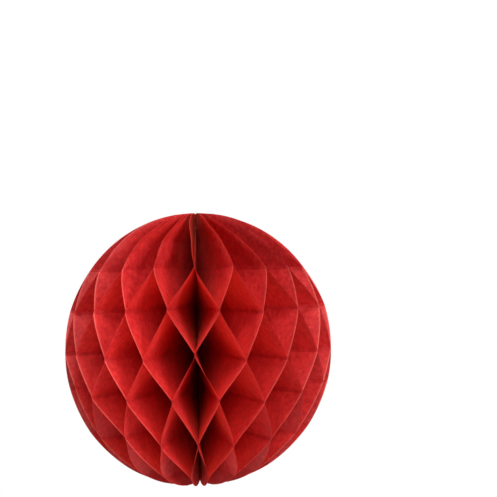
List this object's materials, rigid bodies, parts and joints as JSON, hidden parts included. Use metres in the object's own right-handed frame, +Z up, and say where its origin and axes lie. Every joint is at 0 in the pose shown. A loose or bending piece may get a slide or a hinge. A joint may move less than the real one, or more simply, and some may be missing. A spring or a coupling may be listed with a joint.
{
  "type": "paper honeycomb ball",
  "caption": "Hanging paper honeycomb ball: tissue leaves glued in strips around a spine open like a fan into a sphere of diamond cells, and fold flat between half-disc cards.",
  "frame": {"origin": "centre of the open ball, on the spine axis at half its height", "axes": "+Z up along the spine, -Y the side opposite the seam of the cover cards, +Y the seam"},
  "size_m": [0.2006, 0.2004, 0.2024],
  "materials": {
    "tissue": "matt red tissue paper, slightly see-through",
    "card": "red paper-faced card",
    "adhesive": "double-sided adhesive tape",
    "thread": "spun cotton thread"
  },
  "bodies": {
    "cover_card_a": {"cover_card_a": "card", "adhesive_upper": "adhesive", "adhesive_lower": "adhesive", "thread_top": "thread", "thread_middle": "thread", "thread_bottom": "thread"},
    "cover_card_b": {"cover_card_b": "card"},
    "leaf_01": {"leaf_01": "tissue"},
    "leaf_02": {"leaf_02": "tissue"},
    "leaf_03": {"leaf_03": "tissue"},
    "leaf_04": {"leaf_04": "tissue"},
    "leaf_05": {"leaf_05": "tissue"},
    "leaf_06": {"leaf_06": "tissue"},
    "leaf_07": {"leaf_07": "tissue"},
    "leaf_08": {"leaf_08": "tissue"},
    "leaf_09": {"leaf_09": "tissue"},
    "leaf_10": {"leaf_10": "tissue"},
    "leaf_11": {"leaf_11": "tissue"},
    "leaf_12": {"leaf_12": "tissue"},
    "leaf_13": {"leaf_13": "tissue"},
    "leaf_14": {"leaf_14": "tissue"},
    "leaf_15": {"leaf_15": "tissue"},
    "leaf_16": {"leaf_16": "tissue"},
    "leaf_17": {"leaf_17": "tissue"},
    "leaf_18": {"leaf_18": "tissue"},
    "leaf_19": {"leaf_19": "tissue"},
    "leaf_20": {"leaf_20": "tissue"},
    "leaf_21": {"leaf_21": "tissue"},
    "leaf_22": {"leaf_22": "tissue"},
    "leaf_23": {"leaf_23": "tissue"},
    "leaf_24": {"leaf_24": "tissue"},
    "leaf_25": {"leaf_25": "tissue"},
    "leaf_26": {"leaf_26": "tissue"},
    "leaf_27": {"leaf_27": "tissue"},
    "leaf_28": {"leaf_28": "tissue"},
    "leaf_29": {"leaf_29": "tissue"},
    "leaf_30": {"leaf_30": "tissue"},
    "leaf_31": {"leaf_31": "tissue"},
    "leaf_32": {"leaf_32": "tissue"},
    "leaf_33": {"leaf_33": "tissue"},
    "leaf_34": {"leaf_34": "tissue"},
    "leaf_35": {"leaf_35": "tissue"},
    "leaf_36": {"leaf_36": "tissue"},
    "leaf_37": {"leaf_37": "tissue"},
    "leaf_38": {"leaf_38": "tissue"},
    "leaf_39": {"leaf_39": "tissue"},
    "leaf_40": {"leaf_40": "tissue"}
  },
  "joints": [
    {"name": "fold", "type": "hinge", "parent": "cover_card_a", "child": "cover_card_b", "pos_m": [0, 0, 0], "axis": [0, 0, 1], "range_deg": [0, 353], "deforming": ["thread_top", "thread_middle", "thread_bottom"]},
    {"name": "leaf_01_turn", "type": "hinge", "parent": "cover_card_a", "child": "leaf_01", "pos_m": [0, 0, 0], "axis": [0, 0, 1], "range_deg": [0, 5.3], "deforming": ["leaf_01"]},
    {"name": "leaf_02_turn", "type": "hinge", "parent": "cover_card_a", "child": "leaf_02", "pos_m": [0, 0, 0], "axis": [0, 0, 1], "range_deg": [0, 14.1], "deforming": ["leaf_02"]},
    {"name": "leaf_03_turn", "type": "hinge", "parent": "cover_card_a", "child": "leaf_03", "pos_m": [0, 0, 0], "axis": [0, 0, 1], "range_deg": [0, 22.91], "deforming": ["leaf_03"]},
    {"name": "leaf_04_turn", "type": "hinge", "parent": "cover_card_a", "child": "leaf_04", "pos_m": [0, 0, 0], "axis": [0, 0, 1], "range_deg": [0, 31.71], "deforming": ["leaf_04"]},
    {"name": "leaf_05_turn", "type": "hinge", "parent": "cover_card_a", "child": "leaf_05", "pos_m": [0, 0, 0], "axis": [0, 0, 1], "range_deg": [0, 40.52], "deforming": ["leaf_05"]},
    {"name": "leaf_06_turn", "type": "hinge", "parent": "cover_card_a", "child": "leaf_06", "pos_m": [0, 0, 0], "axis": [0, 0, 1], "range_deg": [0, 49.32], "deforming": ["leaf_06"]},
    {"name": "leaf_07_turn", "type": "hinge", "parent": "cover_card_a", "child": "leaf_07", "pos_m": [0, 0, 0], "axis": [0, 0, 1], "range_deg": [0, 58.13], "deforming": ["leaf_07"]},
    {"name": "leaf_08_turn", "type": "hinge", "parent": "cover_card_a", "child": "leaf_08", "pos_m": [0, 0, 0], "axis": [0, 0, 1], "range_deg": [0, 66.93], "deforming": ["leaf_08"]},
    {"name": "leaf_09_turn", "type": "hinge", "parent": "cover_card_a", "child": "leaf_09", "pos_m": [0, 0, 0], "axis": [0, 0, 1], "range_deg": [0, 75.74], "deforming": ["leaf_09"]},
    {"name": "leaf_10_turn", "type": "hinge", "parent": "cover_card_a", "child": "leaf_10", "pos_m": [0, 0, 0], "axis": [0, 0, 1], "range_deg": [0, 84.54], "deforming": ["leaf_10"]},
    {"name": "leaf_11_turn", "type": "hinge", "parent": "cover_card_a", "child": "leaf_11", "pos_m": [0, 0, 0], "axis": [0, 0, 1], "range_deg": [0, 93.35], "deforming": ["leaf_11"]},
    {"name": "leaf_12_turn", "type": "hinge", "parent": "cover_card_a", "child": "leaf_12", "pos_m": [0, 0, 0], "axis": [0, 0, 1], "range_deg": [0, 102.15], "deforming": ["leaf_12"]},
    {"name": "leaf_13_turn", "type": "hinge", "parent": "cover_card_a", "child": "leaf_13", "pos_m": [0, 0, 0], "axis": [0, 0, 1], "range_deg": [0, 110.96], "deforming": ["leaf_13"]},
    {"name": "leaf_14_turn", "type": "hinge", "parent": "cover_card_a", "child": "leaf_14", "pos_m": [0, 0, 0], "axis": [0, 0, 1], "range_deg": [0, 119.77], "deforming": ["leaf_14"]},
    {"name": "leaf_15_turn", "type": "hinge", "parent": "cover_card_a", "child": "leaf_15", "pos_m": [0, 0, 0], "axis": [0, 0, 1], "range_deg": [0, 128.57], "deforming": ["leaf_15"]},
    {"name": "leaf_16_turn", "type": "hinge", "parent": "cover_card_a", "child": "leaf_16", "pos_m": [0, 0, 0], "axis": [0, 0, 1], "range_deg": [0, 137.38], "deforming": ["leaf_16"]},
    {"name": "leaf_17_turn", "type": "hinge", "parent": "cover_card_a", "child": "leaf_17", "pos_m": [0, 0, 0], "axis": [0, 0, 1], "range_deg": [0, 146.18], "deforming": ["leaf_17"]},
    {"name": "leaf_18_turn", "type": "hinge", "parent": "cover_card_a", "child": "leaf_18", "pos_m": [0, 0, 0], "axis": [0, 0, 1], "range_deg": [0, 154.99], "deforming": ["leaf_18"]},
    {"name": "leaf_19_turn", "type": "hinge", "parent": "cover_card_a", "child": "leaf_19", "pos_m": [0, 0, 0], "axis": [0, 0, 1], "range_deg": [0, 163.79], "deforming": ["leaf_19"]},
    {"name": "leaf_20_turn", "type": "hinge", "parent": "cover_card_a", "child": "leaf_20", "pos_m": [0, 0, 0], "axis": [0, 0, 1], "range_deg": [0, 172.6], "deforming": ["leaf_20"]},
    {"name": "leaf_21_turn", "type": "hinge", "parent": "cover_card_a", "child": "leaf_21", "pos_m": [0, 0, 0], "axis": [0, 0, 1], "range_deg": [0, 181.4], "deforming": ["leaf_21"]},
    {"name": "leaf_22_turn", "type": "hinge", "parent": "cover_card_a", "child": "leaf_22", "pos_m": [0, 0, 0], "axis": [0, 0, 1], "range_deg": [0, 190.21], "deforming": ["leaf_22"]},
    {"name": "leaf_23_turn", "type": "hinge", "parent": "cover_card_a", "child": "leaf_23", "pos_m": [0, 0, 0], "axis": [0, 0, 1], "range_deg": [0, 199.01], "deforming": ["leaf_23"]},
    {"name": "leaf_24_turn", "type": "hinge", "parent": "cover_card_a", "child": "leaf_24", "pos_m": [0, 0, 0], "axis": [0, 0, 1], "range_deg": [0, 207.82], "deforming": ["leaf_24"]},
    {"name": "leaf_25_turn", "type": "hinge", "parent": "cover_card_a", "child": "leaf_25", "pos_m": [0, 0, 0], "axis": [0, 0, 1], "range_deg": [0, 216.62], "deforming": ["leaf_25"]},
    {"name": "leaf_26_turn", "type": "hinge", "parent": "cover_card_a", "child": "leaf_26", "pos_m": [0, 0, 0], "axis": [0, 0, 1], "range_deg": [0, 225.43], "deforming": ["leaf_26"]},
    {"name": "leaf_27_turn", "type": "hinge", "parent": "cover_card_a", "child": "leaf_27", "pos_m": [0, 0, 0], "axis": [0, 0, 1], "range_deg": [0, 234.23], "deforming": ["leaf_27"]},
    {"name": "leaf_28_turn", "type": "hinge", "parent": "cover_card_a", "child": "leaf_28", "pos_m": [0, 0, 0], "axis": [0, 0, 1], "range_deg": [0, 243.04], "deforming": ["leaf_28"]},
    {"name": "leaf_29_turn", "type": "hinge", "parent": "cover_card_a", "child": "leaf_29", "pos_m": [0, 0, 0], "axis": [0, 0, 1], "range_deg": [0, 251.85], "deforming": ["leaf_29"]},
    {"name": "leaf_30_turn", "type": "hinge", "parent": "cover_card_a", "child": "leaf_30", "pos_m": [0, 0, 0], "axis": [0, 0, 1], "range_deg": [0, 260.65], "deforming": ["leaf_30"]},
    {"name": "leaf_31_turn", "type": "hinge", "parent": "cover_card_a", "child": "leaf_31", "pos_m": [0, 0, 0], "axis": [0, 0, 1], "range_deg": [0, 269.46], "deforming": ["leaf_31"]},
    {"name": "leaf_32_turn", "type": "hinge", "parent": "cover_card_a", "child": "leaf_32", "pos_m": [0, 0, 0], "axis": [0, 0, 1], "range_deg": [0, 278.26], "deforming": ["leaf_32"]},
    {"name": "leaf_33_turn", "type": "hinge", "parent": "cover_card_a", "child": "leaf_33", "pos_m": [0, 0, 0], "axis": [0, 0, 1], "range_deg": [0, 287.07], "deforming": ["leaf_33"]},
    {"name": "leaf_34_turn", "type": "hinge", "parent": "cover_card_a", "child": "leaf_34", "pos_m": [0, 0, 0], "axis": [0, 0, 1], "range_deg": [0, 295.87], "deforming": ["leaf_34"]},
    {"name": "leaf_35_turn", "type": "hinge", "parent": "cover_card_a", "child": "leaf_35", "pos_m": [0, 0, 0], "axis": [0, 0, 1], "range_deg": [0, 304.68], "deforming": ["leaf_35"]},
    {"name": "leaf_36_turn", "type": "hinge", "parent": "cover_card_a", "child": "leaf_36", "pos_m": [0, 0, 0], "axis": [0, 0, 1], "range_deg": [0, 313.48], "deforming": ["leaf_36"]},
    {"name": "leaf_37_turn", "type": "hinge", "parent": "cover_card_a", "child": "leaf_37", "pos_m": [0, 0, 0], "axis": [0, 0, 1], "range_deg": [0, 322.29], "deforming": ["leaf_37"]},
    {"name": "leaf_38_turn", "type": "hinge", "parent": "cover_card_a", "child": "leaf_38", "pos_m": [0, 0, 0], "axis": [0, 0, 1], "range_deg": [0, 331.09], "deforming": ["leaf_38"]},
    {"name": "leaf_39_turn", "type": "hinge", "parent": "cover_card_a", "child": "leaf_39", "pos_m": [0, 0, 0], "axis": [0, 0, 1], "range_deg": [0, 339.9], "deforming": ["leaf_39"]},
    {"name": "leaf_40_turn", "type": "hinge", "parent": "cover_card_a", "child": "leaf_40", "pos_m": [0, 0, 0], "axis": [0, 0, 1], "range_deg": [0, 348.7], "deforming": ["leaf_40"]}
  ],
  "couplings": [
    {"joint": "leaf_01_turn", "follows": "fold", "ratio": 0.013586},
    {"joint": "leaf_02_turn", "follows": "fold", "ratio": 0.038531},
    {"joint": "leaf_03_turn", "follows": "fold", "ratio": 0.063475},
    {"joint": "leaf_04_turn", "follows": "fold", "ratio": 0.088419},
    {"joint": "leaf_05_turn", "follows": "fold", "ratio": 0.11336},
    {"joint": "leaf_06_turn", "follows": "fold", "ratio": 0.13831},
    {"joint": "leaf_07_turn", "follows": "fold", "ratio": 0.16325},
    {"joint": "leaf_08_turn", "follows": "fold", "ratio": 0.1882},
    {"joint": "leaf_09_turn", "follows": "fold", "ratio": 0.21314},
    {"joint": "leaf_10_turn", "follows": "fold", "ratio": 0.23808},
    {"joint": "leaf_11_turn", "follows": "fold", "ratio": 0.26303},
    {"joint": "leaf_12_turn", "follows": "fold", "ratio": 0.28797},
    {"joint": "leaf_13_turn", "follows": "fold", "ratio": 0.31292},
    {"joint": "leaf_14_turn", "follows": "fold", "ratio": 0.33786},
    {"joint": "leaf_15_turn", "follows": "fold", "ratio": 0.36281},
    {"joint": "leaf_16_turn", "follows": "fold", "ratio": 0.38775},
    {"joint": "leaf_17_turn", "follows": "fold", "ratio": 0.41269},
    {"joint": "leaf_18_turn", "follows": "fold", "ratio": 0.43764},
    {"joint": "leaf_19_turn", "follows": "fold", "ratio": 0.46258},
    {"joint": "leaf_20_turn", "follows": "fold", "ratio": 0.48753},
    {"joint": "leaf_21_turn", "follows": "fold", "ratio": 0.51247},
    {"joint": "leaf_22_turn", "follows": "fold", "ratio": 0.53742},
    {"joint": "leaf_23_turn", "follows": "fold", "ratio": 0.56236},
    {"joint": "leaf_24_turn", "follows": "fold", "ratio": 0.5873},
    {"joint": "leaf_25_turn", "follows": "fold", "ratio": 0.61225},
    {"joint": "leaf_26_turn", "follows": "fold", "ratio": 0.63719},
    {"joint": "leaf_27_turn", "follows": "fold", "ratio": 0.66214},
    {"joint": "leaf_28_turn", "follows": "fold", "ratio": 0.68708},
    {"joint": "leaf_29_turn", "follows": "fold", "ratio": 0.71203},
    {"joint": "leaf_30_turn", "follows": "fold", "ratio": 0.73697},
    {"joint": "leaf_31_turn", "follows": "fold", "ratio": 0.76192},
    {"joint": "leaf_32_turn", "follows": "fold", "ratio": 0.78686},
    {"joint": "leaf_33_turn", "follows": "fold", "ratio": 0.8118},
    {"joint": "leaf_34_turn", "follows": "fold", "ratio": 0.83675},
    {"joint": "leaf_35_turn", "follows": "fold", "ratio": 0.86169},
    {"joint": "leaf_36_turn", "follows": "fold", "ratio": 0.88664},
    {"joint": "leaf_37_turn", "follows": "fold", "ratio": 0.91158},
    {"joint": "leaf_38_turn", "follows": "fold", "ratio": 0.93653},
    {"joint": "leaf_39_turn", "follows": "fold", "ratio": 0.96147},
    {"joint": "leaf_40_turn", "follows": "fold", "ratio": 0.98641}
  ]
}
